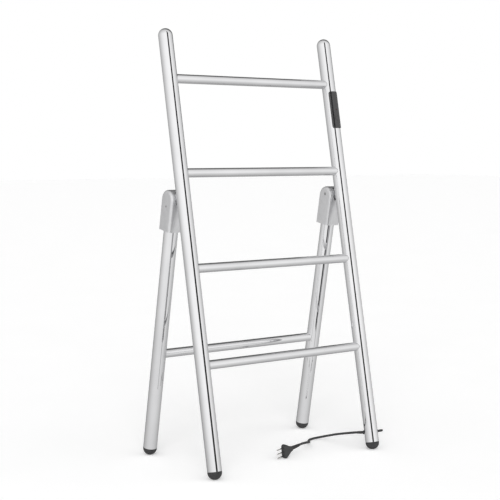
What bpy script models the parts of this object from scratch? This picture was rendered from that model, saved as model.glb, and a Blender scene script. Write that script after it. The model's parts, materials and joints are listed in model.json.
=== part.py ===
"""Free-standing folding towel warmer rack: a heated ladder frame and a hinged rear frame.

Metres, +Z up. The origin is on the floor, midway between the front and rear feet. The ladder's
stiles lean back, the rear legs lean forward, and both meet at two cast hinge housings.
"""

import math

import bmesh
import bpy
from mathutils import Matrix, Vector

# ---- driving dimensions ----
GAP = 0.0003                        # clearance between neighbouring pieces
STILE_SPACING = 0.561               # between the stiles' axes
STILE_RADIUS = 0.020
STILE_WALL = 0.002
STILE_LENGTH = 1.192                # foot dome centre to top dome centre
STILE_LEAN = math.radians(11.33)
LEG_LEAN = math.radians(10.65)
FOOT_FLAT = 0.0008                  # how much of each foot's dome is cut flat
FRONT_FOOT_Y = -0.16515

RUNG_RADIUS = 0.0127
RUNG_WALL = 0.0015
RUNG_COUNT = 4
TOP_RUNG_AT = 1.0721                # along the stile, from the foot dome centre
RUNG_PITCH = 0.2626
WIRE_HOLE_RADIUS = 0.008
TUBE_END_INSET = 0.010             # from the stile's axis to a rung's uncut end
FOOT_LIP = 0.002                   # height of the foot's rim under its tube
SPIGOT_HEIGHT = 0.016

HINGE_ALONG = 0.7488                # along the stile
HINGE_BACK = 0.0478                 # behind the stile's axis
HOUSING_WIDTH = 0.048
HOUSING_HALF_DEPTH = 0.0275
HOUSING_BACK = 0.0013               # middle of its depth, behind the leg's axis
HOUSING_ARCH_BELOW = 0.0055         # arch centre below the pivot
HOUSING_DROP = 0.092                # pivot to the housing's lower edge
HOUSING_FILLET = 0.0078
LEG_TOP_BELOW_PIVOT = 0.0195
LEG_SCREW_BELOW_PIVOT = 0.0235
LEG_SCREW_RADIUS = 0.0025
LUG_WIDTH = 0.012
LUG_RADIUS = 0.011
SLOT_WIDTH = 0.0152
SLOT_RADIUS = 0.014
PIN_RADIUS = 0.004
PIN_BLIND_END = 0.021              # the bore stops inside the outer cheek
CROSSBAR_BELOW_PIVOT = 0.4526       # along the leg
CROSSBAR_RADIUS = 0.0127

CONTROL_LOW = 0.936
CONTROL_HIGH = 1.048
CONTROL_OUTER = 0.0226
CONTROL_WIDTH = 0.0334
CONTROL_CORNER = 0.007
BUTTON_AT = 0.966
BUTTON_RADIUS = 0.007
BUTTON_TRAVEL = 0.001
LENS_AT = 0.992
LENS_RADIUS = 0.0015

HEATER_RADIUS = 0.004
RUNG_HEATER_RADIUS = 0.0035
OUTLET_HEIGHT = 0.048               # of the cord outlet above the floor
CORD_RADIUS = 0.0034
FLOOR_REST = 0.0036                 # cord centre when it lies on the floor

PLUG_AT = (-0.0030, 0.0622, 0.0195)  # middle of the pin face, y measured from the front feet's line
PLUG_YAW = math.radians(10)
PLUG_PITCH = math.radians(7)          # the relief end is the higher one
PLUG_HALF_HEIGHT = 0.0205
PLUG_THICKNESS = 0.014
PLUG_RELIEF_START = 0.037
PLUG_RELIEF_END = 0.069
PIN_SPACING = 0.0118
PIN_TIP = 0.024
SLEEVE_LENGTH = 0.010

TUBE_STEPS = 24
SMALL_STEPS = 16
SIDES = {"left": -1, "right": 1}
PARTS = "towel_warmer_rack"
CUTTERS = "cutters"

# side view plane: local x runs back, local y runs up, local z runs to the right
SIDE_VIEW = Matrix(((0, 0, 1), (1, 0, 0), (0, 1, 0))).to_4x4()


# ---- scene, materials and placing ----
def clear_scene():
    for item in list(bpy.data.objects):
        bpy.data.objects.remove(item, do_unlink=True)
    for name in (PARTS, CUTTERS):
        bpy.context.scene.collection.children.link(bpy.data.collections.new(name))


def material(name, colour, roughness, metallic):
    found = bpy.data.materials.get(name)
    if found:
        return found
    made = bpy.data.materials.new(name)
    made.use_nodes = True
    shader = made.node_tree.nodes["Principled BSDF"]
    shader.inputs["Base Color"].default_value = (*colour, 1.0)
    shader.inputs["Roughness"].default_value = roughness
    shader.inputs["Metallic"].default_value = metallic
    return made


def chrome():
    return material("chrome", (0.80, 0.80, 0.82), 0.06, 1.0)


def satin_metal():
    return material("satin_metal", (0.55, 0.55, 0.56), 0.40, 1.0)


def steel():
    return material("steel", (0.50, 0.50, 0.50), 0.30, 1.0)


def rubber():
    return material("rubber", (0.03, 0.03, 0.03), 0.65, 0.0)


def black_plastic():
    return material("black_plastic", (0.05, 0.05, 0.05), 0.35, 0.0)


def heater_sheath():
    return material("heater_sheath", (0.55, 0.20, 0.12), 0.60, 0.0)


def board_green():
    return material("board_green", (0.03, 0.20, 0.08), 0.50, 0.0)


def cord_jacket():
    return material("cord_jacket", (0.04, 0.04, 0.04), 0.50, 0.0)


def plated_brass():
    return material("plated_brass", (0.75, 0.73, 0.68), 0.20, 1.0)


def white_plastic():
    return material("white_plastic", (0.75, 0.74, 0.70), 0.45, 0.0)


def lens_plastic():
    return material("lens_plastic", (0.60, 0.10, 0.05), 0.15, 0.0)


def add_object(name, mesh, paint, place, group=PARTS, smooth=True):
    item = bpy.data.objects.new(name, mesh)
    bpy.data.collections[group].objects.link(item)
    item.matrix_world = place
    if group == CUTTERS:
        item.hide_render = True
        item.display_type = "WIRE"
        return item
    mesh.materials.append(paint)
    if smooth:
        mesh.shade_smooth()
        mesh.set_sharp_from_angle(angle=math.radians(35))
    return item


def hang_on(items, empty):
    """Parent the items to the empty and keep them where they are."""
    for item in items:
        item.parent = empty
        item.matrix_parent_inverse = Matrix.Translation(empty.location).inverted()


def add_empty(name, place):
    empty = bpy.data.objects.new(name, None)
    bpy.data.collections[PARTS].objects.link(empty)
    empty.location = place
    return empty


# ---- frames ----
def foot_height():
    return STILE_RADIUS - FOOT_FLAT


def stile_frame(x, along=0.0):
    """Local z runs up the stile, local y runs back from it."""
    base = Matrix.Translation((x, FRONT_FOOT_Y, foot_height()))
    return base @ Matrix.Rotation(-STILE_LEAN, 4, "X") @ Matrix.Translation((0, 0, along))


def hinge_point(x=0.0):
    return stile_frame(x) @ Vector((0, HINGE_BACK, HINGE_ALONG))


def leg_frame(x, below=0.0):
    """Local z runs up the leg from the hinge, local y runs back."""
    base = Matrix.Translation(hinge_point(x))
    return base @ Matrix.Rotation(LEG_LEAN, 4, "X") @ Matrix.Translation((0, 0, -below))


def leg_length():
    return (hinge_point().z - foot_height()) / math.cos(LEG_LEAN)


def stile_x(side):
    return SIDES[side] * STILE_SPACING / 2


# ---- shape makers ----
def arc(radius, start, end, count, centre=(0.0, 0.0)):
    """Points on an arc, both ends included, angles in degrees."""
    points = []
    for i in range(count + 1):
        angle = math.radians(start + (end - start) * i / count)
        points.append((centre[0] + radius * math.cos(angle), centre[1] + radius * math.sin(angle)))
    return points


def turned(name, profile, paint, place, steps=SMALL_STEPS, closed=False, group=PARTS):
    """Turn a profile of (radius, height) about local z."""
    mesh = bpy.data.meshes.new(name)
    count = len(profile)
    edges = [(i, i + 1) for i in range(count - 1)]
    if closed:
        edges.append((count - 1, 0))
    mesh.from_pydata([(radius, 0, height) for radius, height in profile], edges, [])
    item = add_object(name, mesh, paint, place, group)
    screw = item.modifiers.new("turn", "SCREW")
    screw.axis = "Z"
    screw.steps = steps
    screw.render_steps = steps
    screw.use_merge_vertices = True
    screw.merge_threshold = 0.00001
    screw.use_smooth_shade = True
    return item


def pipe(name, radius, wall, low, high, paint, place, steps=TUBE_STEPS):
    inner = radius - wall
    profile = [(radius, high), (radius, low), (inner, low), (inner, high)]
    return turned(name, profile, paint, place, steps, closed=True)


def rod(name, radius, low, high, paint, place, steps=SMALL_STEPS, group=PARTS):
    profile = [(0, high), (radius, high), (radius, low), (0, low)]
    return turned(name, profile, paint, place, steps, group=group)


def plate(name, outline, thickness, paint, place, group=PARTS, fillet=0.0, keep_below=None):
    """A flat outline in local xy, its thickness centred on local z, its rims rounded by fillet."""
    curve = bpy.data.curves.new(name, "CURVE")
    curve.dimensions = "2D"
    curve.fill_mode = "BOTH"
    curve.extrude = thickness / 2
    spline = curve.splines.new("POLY")
    spline.points.add(len(outline) - 1)
    for point, (x, y) in zip(spline.points, outline):
        point.co = (x, y, 0, 1)
    spline.use_cyclic_u = True
    guide = bpy.data.objects.new(name, curve)
    bpy.context.scene.collection.objects.link(guide)
    graph = bpy.context.evaluated_depsgraph_get()
    mesh = bpy.data.meshes.new_from_object(guide.evaluated_get(graph))
    bpy.data.objects.remove(guide)
    shape = bmesh.new()
    shape.from_mesh(mesh)
    bmesh.ops.remove_doubles(shape, verts=shape.verts, dist=0.00001)
    bmesh.ops.recalc_face_normals(shape, faces=shape.faces)
    if fillet:
        bmesh.ops.dissolve_limit(shape, angle_limit=0.01, verts=shape.verts, edges=shape.edges)
        rims = [edge for edge in shape.edges if rim_edge(edge, keep_below)]
        bmesh.ops.bevel(shape, geom=rims, offset=fillet, segments=3, profile=0.5, affect="EDGES")
    shape.to_mesh(mesh)
    shape.free()
    mesh.name = name
    return add_object(name, mesh, paint, place, group)


def rim_edge(edge, keep_below):
    """True for an edge between a flat side and the outline's rim, above keep_below."""
    first, second = edge.verts
    if abs(first.co.z - second.co.z) > 0.00001:
        return False
    return keep_below is None or max(first.co.y, second.co.y) > keep_below


def box(name, size, paint, place, group=PARTS):
    shape = bmesh.new()
    bmesh.ops.create_cube(shape, size=1.0)
    bmesh.ops.scale(shape, vec=size, verts=shape.verts)
    mesh = bpy.data.meshes.new(name)
    shape.to_mesh(mesh)
    shape.free()
    return add_object(name, mesh, paint, place, group, smooth=False)


def combine(item, other, operation="DIFFERENCE"):
    modifier = item.modifiers.new(other.name, "BOOLEAN")
    modifier.object = other
    modifier.operation = operation
    modifier.solver = "EXACT"


def across(along, x=0.0):
    """Place a piece whose local z runs to the right, at a height along the stiles."""
    return stile_frame(x, along) @ Matrix.Rotation(math.radians(90), 4, "Y")


# ---- ladder frame ----
def rung_places():
    return [TOP_RUNG_AT - RUNG_PITCH * i for i in range(RUNG_COUNT)]


def wire_hole_cutter():
    """One cutter of separate cylinders that opens the stiles' inner walls into every rung."""
    shape = bmesh.new()
    for along in rung_places():
        bmesh.ops.create_cone(
            shape,
            cap_ends=True,
            segments=SMALL_STEPS,
            radius1=WIRE_HOLE_RADIUS,
            radius2=WIRE_HOLE_RADIUS,
            depth=STILE_SPACING - 2 * HEATER_RADIUS,
            matrix=across(along),
        )
    mesh = bpy.data.meshes.new("wire_hole_cutter")
    shape.to_mesh(mesh)
    shape.free()
    return add_object("wire_hole_cutter", mesh, None, Matrix.Identity(4), CUTTERS)


def stile(side, holes):
    inner = STILE_RADIUS - STILE_WALL
    low = FOOT_LIP + GAP
    outside = [(radius, STILE_LENGTH + rise) for radius, rise in arc(STILE_RADIUS, 90, 0, 6)]
    inside = [(radius, STILE_LENGTH + rise) for radius, rise in arc(inner, 0, 90, 6)]
    profile = outside + [(STILE_RADIUS, low), (inner, low)] + inside
    profile[0] = (0, profile[0][1])
    profile[-1] = (0, profile[-1][1])
    item = turned(f"stile_{side}", profile, chrome(), stile_frame(stile_x(side)), TUBE_STEPS)
    combine(item, holes)
    return item


def tube_cutter(name, place, low, high):
    """A cylinder a little larger than a stile or leg, for the saddle cuts at its side."""
    return rod(name, STILE_RADIUS + GAP, low, high, None, place, TUBE_STEPS, CUTTERS)


def rung(number, along, stile_cutters):
    half = STILE_SPACING / 2 - TUBE_END_INSET
    item = pipe(f"rung_{number}", RUNG_RADIUS, RUNG_WALL, -half, half, chrome(), across(along))
    for cutter in stile_cutters:
        combine(item, cutter)


def foot(name, place, floor_cutter):
    """A domed rubber foot with a spigot that plugs the tube's end."""
    spigot = STILE_RADIUS - STILE_WALL - GAP
    profile = [(0, SPIGOT_HEIGHT), (spigot, SPIGOT_HEIGHT), (spigot, FOOT_LIP), (STILE_RADIUS, FOOT_LIP)]
    profile += arc(STILE_RADIUS, 0, -90, 8)
    profile[-1] = (0, -STILE_RADIUS)
    item = turned(name, profile, rubber(), place, TUBE_STEPS)
    combine(item, floor_cutter)
    return item


# ---- rear frame ----
def leg(side):
    place = leg_frame(stile_x(side))
    low = -leg_length() + FOOT_LIP + GAP
    return pipe(f"leg_{side}", STILE_RADIUS, STILE_WALL, low, -LEG_TOP_BELOW_PIVOT, chrome(), place)


def crossbar(leg_cutters):
    half = STILE_SPACING / 2 - TUBE_END_INSET
    place = leg_frame(0, CROSSBAR_BELOW_PIVOT) @ Matrix.Rotation(math.radians(90), 4, "Y")
    item = pipe("crossbar", CROSSBAR_RADIUS, RUNG_WALL, -half, half, chrome(), place)
    for cutter in leg_cutters:
        combine(item, cutter)
    return item


def housing(side):
    """The cast housing: a hood with a rounded top, a socket for the leg and a slot for the lug."""
    place = leg_frame(stile_x(side)) @ SIDE_VIEW
    outline = arc(HOUSING_HALF_DEPTH, 0, 180, 12, (HOUSING_BACK, -HOUSING_ARCH_BELOW))
    front = HOUSING_BACK - HOUSING_HALF_DEPTH
    rear = HOUSING_BACK + HOUSING_HALF_DEPTH
    outline += [(front, -HOUSING_DROP), (rear, -HOUSING_DROP)]
    item = plate(
        f"hinge_housing_{side}",
        outline,
        HOUSING_WIDTH,
        satin_metal(),
        place,
        fillet=HOUSING_FILLET,
        keep_below=-HOUSING_DROP + 0.001,
    )
    socket = rod(
        f"socket_cutter_{side}",
        STILE_RADIUS + GAP,
        -HOUSING_DROP - 0.02,
        -LEG_TOP_BELOW_PIVOT + GAP,
        None,
        leg_frame(stile_x(side)),
        TUBE_STEPS,
        CUTTERS,
    )
    combine(item, socket)
    turn = math.degrees(STILE_LEAN + LEG_LEAN)
    reach = 0.040
    top = math.radians(180 - turn)
    rim = arc(SLOT_RADIUS, -90, 90 - turn, 8)
    far_top = (rim[-1][0] + reach * math.cos(top), rim[-1][1] + reach * math.sin(top))
    slot_outline = [(-reach, -SLOT_RADIUS)] + rim + [far_top]
    slot = plate(f"slot_cutter_{side}", slot_outline, SLOT_WIDTH, None, place, CUTTERS)
    combine(item, slot)
    combine(item, pin_bore_cutter(side))
    combine(item, leg_screw_hole_cutter(side))
    return item


def pin_place(side):
    return Matrix.Translation(hinge_point(stile_x(side))) @ Matrix.Rotation(math.radians(90), 4, "Y")


def pin_span(side, outer, inner):
    """Low and high ends along +X of a pin that reaches outer outwards and inner inwards."""
    return (-inner, outer) if SIDES[side] > 0 else (-outer, inner)


def pin_bore_cutter(side):
    """The bore is open at the inner cheek only."""
    name = f"pin_bore_cutter_{side}"
    low, high = pin_span(side, PIN_BLIND_END, HOUSING_WIDTH)
    return rod(name, PIN_RADIUS + GAP, low, high, None, pin_place(side), SMALL_STEPS, CUTTERS)


def hinge_pin(side):
    low, high = pin_span(side, PIN_BLIND_END - GAP, HOUSING_WIDTH / 2 - GAP)
    return rod(f"hinge_pin_{side}", PIN_RADIUS, low, high, satin_metal(), pin_place(side))


def hinge_lug(side, stile_cutter):
    """The plate that stands out behind the stile and carries the hinge pin."""
    place = stile_frame(stile_x(side)) @ Matrix.Translation((0, HINGE_BACK, HINGE_ALONG)) @ SIDE_VIEW
    outline = arc(LUG_RADIUS, -90, 90, 8)
    outline += [(-HINGE_BACK, LUG_RADIUS), (-HINGE_BACK, -LUG_RADIUS)]
    item = plate(f"hinge_lug_{side}", outline, LUG_WIDTH, steel(), place)
    combine(item, stile_cutter)
    combine(item, bpy.data.objects[f"pin_bore_cutter_{side}"])
    return item


def hinge_washers(side):
    """The friction washers, one on each side of the lug."""
    washer = 0.001
    outer = 0.0085
    inner = PIN_RADIUS + GAP
    near = LUG_WIDTH / 2 + GAP
    for end, low in (("outer", near), ("inner", -near - washer)):
        name = f"hinge_washer_{side}_{end}"
        low *= SIDES[side]
        if SIDES[side] < 0:
            low -= washer
        high = low + washer
        profile = [(outer, high), (outer, low), (inner, low), (inner, high)]
        turned(name, profile, white_plastic(), pin_place(side), closed=True)


def leg_screw_place(side):
    """Local z runs out through the outer cheek."""
    turn = Matrix.Rotation(math.radians(90 * SIDES[side]), 4, "Y")
    return leg_frame(stile_x(side), LEG_SCREW_BELOW_PIVOT) @ turn


def leg_screw_hole_cutter(side):
    name = f"leg_screw_hole_cutter_{side}"
    reach = HOUSING_WIDTH
    return rod(
        name, LEG_SCREW_RADIUS + GAP, STILE_RADIUS - 0.001, reach, None, leg_screw_place(side),
        SMALL_STEPS, CUTTERS,
    )


def leg_screw(side):
    """The grub screw that holds the leg in its housing, with a recess for its key."""
    low = STILE_RADIUS + GAP
    high = HOUSING_WIDTH / 2 - GAP
    recess = high - 0.0015
    key = 0.0012
    radius = LEG_SCREW_RADIUS
    profile = [(0, recess), (key, recess), (key, high), (radius, high), (radius, low), (0, low)]
    return turned(f"leg_screw_{side}", profile, steel(), leg_screw_place(side), 12)


# ---- heating and wiring inside ----
def heaters():
    """The right one stays clear of the terminals below and of the control board above."""
    low = {"left": 0.030, "right": 0.130}
    high = {"left": 1.150, "right": 0.900}
    for side in SIDES:
        place = stile_frame(stile_x(side))
        name = f"heater_stile_{side}"
        rod(name, HEATER_RADIUS, low[side], high[side], heater_sheath(), place, 12)
    half = STILE_SPACING / 2 - 0.0185
    for number, along in enumerate(rung_places(), 1):
        name = f"heater_rung_{number}"
        rod(name, RUNG_HEATER_RADIUS, -half, half, heater_sheath(), across(along), 12)


def right_inside(offset, along):
    return stile_frame(stile_x("right"), along) @ Matrix.Translation(offset)


def control_board():
    box("control_board", (0.024, 0.0016, 0.090), board_green(), right_inside((0, -0.0072, 0), 1.000))
    place = right_inside((0, -0.0097, 0), BUTTON_AT)
    box("button_switch", (0.006, 0.0030, 0.006), black_plastic(), place)


def terminal_block():
    box("terminal_block", (0.010, 0.012, 0.026), white_plastic(), right_inside((0, 0.004, 0), 0.070))


def thermal_cutout():
    box("thermal_cutout", (0.009, 0.008, 0.024), steel(), right_inside((0, 0.004, 0), 0.106))


def wiring_loom():
    """The bundle of leads that runs up the right stile beside the heating element."""
    place = right_inside((0.0105, 0, 0), 0)
    rod("wiring_loom", 0.0022, 0.060, 0.952, white_plastic(), place, 8)


# ---- control on the right stile ----
def front_facing(along):
    """Local z runs forward out of the right stile, local y runs up it."""
    return stile_frame(stile_x("right"), along) @ Matrix.Rotation(math.radians(90), 4, "X")


def rounded_outline(width, height, radius):
    points = []
    corners = ((1, 1, 0), (-1, 1, 90), (-1, -1, 180), (1, -1, 270))
    for right, up, start in corners:
        centre = (right * (width / 2 - radius), up * (height / 2 - radius))
        points += arc(radius, start, start + 90, 4, centre)
    return points


def control_cover():
    """The moulded cover that wraps the front of the stile, with holes for button and lens."""
    place = stile_frame(stile_x("right"))
    inner = STILE_RADIUS + GAP
    low = CONTROL_LOW - 0.01
    high = CONTROL_HIGH + 0.01
    profile = [(CONTROL_OUTER, high), (CONTROL_OUTER, low), (inner, low), (inner, high)]
    cover = turned("control_cover", profile, black_plastic(), place, 48, closed=True)
    height = CONTROL_HIGH - CONTROL_LOW
    outline = rounded_outline(CONTROL_WIDTH, height, CONTROL_CORNER)
    middle = front_facing((CONTROL_LOW + CONTROL_HIGH) / 2) @ Matrix.Translation((0, 0, 0.020))
    trimmer = plate("cover_outline_cutter", outline, 0.030, None, middle, CUTTERS)
    combine(cover, trimmer, "INTERSECT")
    hole_low = STILE_RADIUS - 0.001
    hole_high = STILE_RADIUS + 0.01
    for name, radius, along in (
        ("button_hole_cutter", BUTTON_RADIUS + GAP, BUTTON_AT),
        ("lens_hole_cutter", LENS_RADIUS + GAP, LENS_AT),
    ):
        place = front_facing(along)
        combine(cover, rod(name, radius, hole_low, hole_high, None, place, SMALL_STEPS, CUTTERS))


def control_button(body):
    """The push button, with a stem through the stile's wall to the switch on the board."""
    stem = 0.0022
    stem_cutter = rod(
        "stem_hole_cutter", stem + 0.0008, 0.012, 0.024, None, front_facing(BUTTON_AT),
        SMALL_STEPS, CUTTERS,
    )
    combine(body, stem_cutter)
    face = CONTROL_OUTER - 0.0002
    back = STILE_RADIUS + BUTTON_TRAVEL + GAP
    profile = [(0, face), (BUTTON_RADIUS - 0.0008, face), (BUTTON_RADIUS, face - 0.0006)]
    profile += [(BUTTON_RADIUS, back), (stem, back), (stem, 0.0127), (0, 0.0127)]
    item = turned("control_button", profile, black_plastic(), front_facing(BUTTON_AT))
    empty = add_empty("button_slide", front_facing(BUTTON_AT) @ Vector((0, 0, face)))
    hang_on([item], empty)


def status_lens():
    low = STILE_RADIUS + GAP
    rod("status_lens", LENS_RADIUS, low, CONTROL_OUTER, lens_plastic(), front_facing(LENS_AT), 12)


# ---- cord outlet, cord and plug ----
def outlet_along():
    return (OUTLET_HEIGHT - foot_height()) / math.cos(STILE_LEAN)


def outlet_point():
    return stile_frame(stile_x("right")) @ Vector((0, 0, outlet_along()))


def outlet_direction():
    """Where the cord leaves the stile: inwards and back, a little downwards."""
    return Vector((-0.70, 0.71, -0.05)).normalized()


def pointing(point, direction):
    """Place a piece whose local z runs along the direction."""
    return Matrix.Translation(point) @ direction.to_track_quat("Z", "Y").to_matrix().to_4x4()


def cord_outlet(body):
    """The gland that the cord leaves by, and the tail of the cord grip on the other side."""
    reach = STILE_RADIUS + 0.01
    gland_place = pointing(outlet_point(), outlet_direction())
    grip_place = pointing(outlet_point(), Vector((1, 0, 0)))
    stem = 0.0042
    hole = stem + GAP
    combine(body, rod("gland_cutter", hole, 0.010, reach, None, gland_place, 12, CUTTERS))
    combine(body, rod("grip_cutter", hole, 0.010, reach, None, grip_place, 12, CUTTERS))
    flange = STILE_RADIUS + 0.0007
    relief_end = flange + 0.0200
    gland = [(0, relief_end), (0.0038, relief_end), (0.0045, flange + 0.0025), (0.0060, flange + 0.0018)]
    gland += [(0.0060, flange), (stem, flange), (stem, 0.0125), (0, 0.0125)]
    turned("cord_gland", gland, rubber(), gland_place)
    tip = STILE_RADIUS + 0.0262
    tail = [(0, tip), (0.0018, tip - 0.0004), (0.0030, tip - 0.0016), (0.0034, tip - 0.0034)]
    tail += [(0.0039, flange), (stem, STILE_RADIUS), (stem, 0.0060), (0, 0.0060)]
    turned("cord_grip", tail, rubber(), grip_place)
    return outlet_point() + outlet_direction() * (relief_end + GAP)


def plug_frame(along=0.0):
    """Local z runs from the pin face towards the cord, local y runs up."""
    point = Vector(PLUG_AT) + Vector((0, FRONT_FOOT_Y, 0))
    level = Vector((math.cos(PLUG_YAW), math.sin(PLUG_YAW), 0))
    direction = level * math.cos(PLUG_PITCH) + Vector((0, 0, math.sin(PLUG_PITCH)))
    side = direction.cross(Vector((0, 0, 1))).normalized()
    axes = Matrix((-side, side.cross(direction), direction)).transposed().to_4x4()
    return Matrix.Translation(point + direction * along) @ axes


def plug():
    """A flat moulded plug with three round pins in line, standing on its edge."""
    tall = PLUG_HALF_HEIGHT
    half = [(0, 0.0155), (0.0025, 0.0185), (0.007, tall), (0.011, 0.0195), (0.029, 0.0078)]
    half += [(PLUG_RELIEF_START - GAP, 0.0062)]
    outline = half + [(along, -rise) for along, rise in reversed(half)]
    flat = Matrix(((0, 0, 1), (0, 1, 0), (-1, 0, 0))).to_4x4()
    mirrored = [(-along, rise) for along, rise in outline]
    plate("plug_body", mirrored, PLUG_THICKNESS, black_plastic(), plug_frame() @ flat, fillet=0.003)
    relief_length = PLUG_RELIEF_END - PLUG_RELIEF_START
    profile = [(0, relief_length), (0.0042, relief_length), (0.0060, 0), (0, 0)]
    turned("plug_relief", profile, rubber(), plug_frame(PLUG_RELIEF_START))
    pin_group("pin_sleeve", 0.0020, -SLEEVE_LENGTH, -GAP, black_plastic())
    pin_group("plug_pin", 0.0019, -PIN_TIP, -SLEEVE_LENGTH - GAP, plated_brass())


def pin_group(name, radius, low, high, paint):
    """Three round pins in line, one above another."""
    for number, rise in enumerate((PIN_SPACING, 0, -PIN_SPACING), 1):
        place = plug_frame() @ Matrix.Translation((0, rise, 0))
        rod(f"{name}_{number}", radius, low, high, paint, place, 12)


def cord_route(start):
    """The cord's route points, hand chosen, measured from the front feet's line."""
    descent = [
        (0.2432, 0.0440, 0.0447),
        (0.2393, 0.0500, 0.0436),
        (0.2370, 0.0568, 0.0421),
        (0.2362, 0.0638, 0.0404),
        (0.2360, 0.0780, 0.0368),
        (0.2360, 0.0926, 0.0330),
        (0.2360, 0.1090, 0.0286),
        (0.2360, 0.1250, 0.0239),
        (0.2360, 0.1410, 0.0189),
    ]
    turn = arc(0.030, 0, 130, 5, (0.206, 0.1568))
    heights = (0.0141, 0.0099, 0.0066, 0.0045, FLOOR_REST, FLOOR_REST)
    landing = [(x, y, z) for (x, y), z in zip(turn, heights)]
    approach = [
        (0.1756, 0.1689, 0.0036),
        (0.1656, 0.1570, 0.0054),
        (0.1564, 0.1445, 0.0091),
        (0.1476, 0.1317, 0.0129),
        (0.1385, 0.1190, 0.0167),
        (0.1288, 0.1069, 0.0205),
        (0.1178, 0.0959, 0.0241),
        (0.1052, 0.0868, 0.0271),
        (0.0912, 0.0801, 0.0290),
    ]
    points = [start, start + outlet_direction() * 0.006]
    points += [Vector((x, y + FRONT_FOOT_Y, z)) for x, y, z in descent + landing + approach]
    points.append(plug_frame(PLUG_RELIEF_END + 0.012).translation)
    points.append(plug_frame(PLUG_RELIEF_END + GAP).translation)
    return points


def smooth_points(route, count):
    """Points along a Catmull-Rom curve through the route, nearly evenly spaced."""
    dense = []
    padded = [2 * route[0] - route[1]] + route + [2 * route[-1] - route[-2]]
    for i in range(1, len(padded) - 2):
        p0, p1, p2, p3 = padded[i - 1 : i + 3]
        for step in range(20):
            t = step / 20
            part = (2 * p0 - 5 * p1 + 4 * p2 - p3) * t * t + (3 * p1 - p0 - 3 * p2 + p3) * t ** 3
            dense.append(0.5 * (2 * p1 + (p2 - p0) * t + part))
    dense.append(route[-1])
    travelled = [0.0]
    for before, after in zip(dense, dense[1:]):
        travelled.append(travelled[-1] + (after - before).length)
    points = []
    index = 0
    for i in range(count):
        wanted = travelled[-1] * i / (count - 1)
        while index < len(dense) - 2 and travelled[index + 1] < wanted:
            index += 1
        share = (wanted - travelled[index]) / (travelled[index + 1] - travelled[index])
        points.append(dense[index].lerp(dense[index + 1], share))
    return points


def power_cord(start):
    curve = bpy.data.curves.new("power_cord", "CURVE")
    curve.dimensions = "3D"
    curve.bevel_depth = CORD_RADIUS
    curve.bevel_resolution = 2
    curve.use_fill_caps = True
    points = smooth_points(cord_route(start), 28)
    spline = curve.splines.new("POLY")
    spline.points.add(len(points) - 1)
    for point, place in zip(spline.points, points):
        point.co = (*place, 1)
    item = bpy.data.objects.new("power_cord", curve)
    curve.materials.append(cord_jacket())
    bpy.data.collections[PARTS].objects.link(item)


# ---- assembly ----
def build_ladder(floor_cutter):
    holes = wire_hole_cutter()
    stiles = {side: stile(side, holes) for side in SIDES}
    reach = STILE_LENGTH - 0.01
    cutters = {
        side: tube_cutter(f"stile_cutter_{side}", stile_frame(stile_x(side)), 0.01, reach)
        for side in SIDES
    }
    for number, along in enumerate(rung_places(), 1):
        rung(number, along, cutters.values())
    for side in SIDES:
        foot(f"foot_front_{side}", stile_frame(stile_x(side)), floor_cutter)
    return stiles, cutters


def build_rear_frame(floor_cutter):
    pieces = []
    leg_cutters = []
    for side in SIDES:
        place = leg_frame(stile_x(side))
        pieces.append(leg(side))
        leg_cutters.append(tube_cutter(f"leg_cutter_{side}", place, -leg_length(), -0.1))
        pieces.append(foot(f"foot_rear_{side}", leg_frame(stile_x(side), leg_length()), floor_cutter))
        pieces.append(housing(side))
        pieces.append(leg_screw(side))
    pieces.append(crossbar(leg_cutters))
    hang_on(pieces, add_empty("rear_frame_hinge", hinge_point()))


def main():
    clear_scene()
    slab = Matrix.Translation((0, 0, -0.02))
    floor_cutter = box("floor_cutter", (0.8, 0.6, 0.04), None, slab, CUTTERS)
    stiles, stile_cutters = build_ladder(floor_cutter)
    build_rear_frame(floor_cutter)
    for side in SIDES:
        hinge_lug(side, stile_cutters[side])
        hinge_pin(side)
        hinge_washers(side)
    heaters()
    control_board()
    terminal_block()
    thermal_cutout()
    wiring_loom()
    control_cover()
    control_button(stiles["right"])
    status_lens()
    cord_start = cord_outlet(stiles["right"])
    plug()
    power_cord(cord_start)


main()
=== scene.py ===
"""Looks of the folding towel warmer rack: fine meshes and procedural materials.

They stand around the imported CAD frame, and places come from the frame's own nodes and joints.
Metres, +Z up, the origin on the floor between the feet.
"""

import json
import math

import bmesh
import bpy
from mathutils import Matrix, Vector

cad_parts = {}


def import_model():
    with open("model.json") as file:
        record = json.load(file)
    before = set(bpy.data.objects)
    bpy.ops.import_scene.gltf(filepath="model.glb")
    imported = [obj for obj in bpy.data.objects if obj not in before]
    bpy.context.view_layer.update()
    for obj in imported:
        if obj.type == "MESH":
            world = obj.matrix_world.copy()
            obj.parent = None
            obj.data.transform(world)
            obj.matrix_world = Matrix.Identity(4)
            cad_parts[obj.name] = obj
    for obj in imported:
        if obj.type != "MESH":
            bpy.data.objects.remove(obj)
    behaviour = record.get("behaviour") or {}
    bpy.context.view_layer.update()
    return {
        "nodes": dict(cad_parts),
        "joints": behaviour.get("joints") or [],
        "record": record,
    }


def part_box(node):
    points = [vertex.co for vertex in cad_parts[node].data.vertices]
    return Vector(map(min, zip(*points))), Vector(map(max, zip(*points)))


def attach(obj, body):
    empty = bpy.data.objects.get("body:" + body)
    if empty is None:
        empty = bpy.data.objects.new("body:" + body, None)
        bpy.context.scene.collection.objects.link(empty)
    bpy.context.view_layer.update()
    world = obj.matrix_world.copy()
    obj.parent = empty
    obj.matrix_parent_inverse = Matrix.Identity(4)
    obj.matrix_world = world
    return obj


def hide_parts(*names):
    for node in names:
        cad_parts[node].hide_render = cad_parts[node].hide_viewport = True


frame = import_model()
SIDES = {"left": -1, "right": 1}
RUNGS = ("rung_1", "rung_2", "rung_3", "rung_4")
LADDER = "front_frame"
REAR = "rear_frame"

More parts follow.
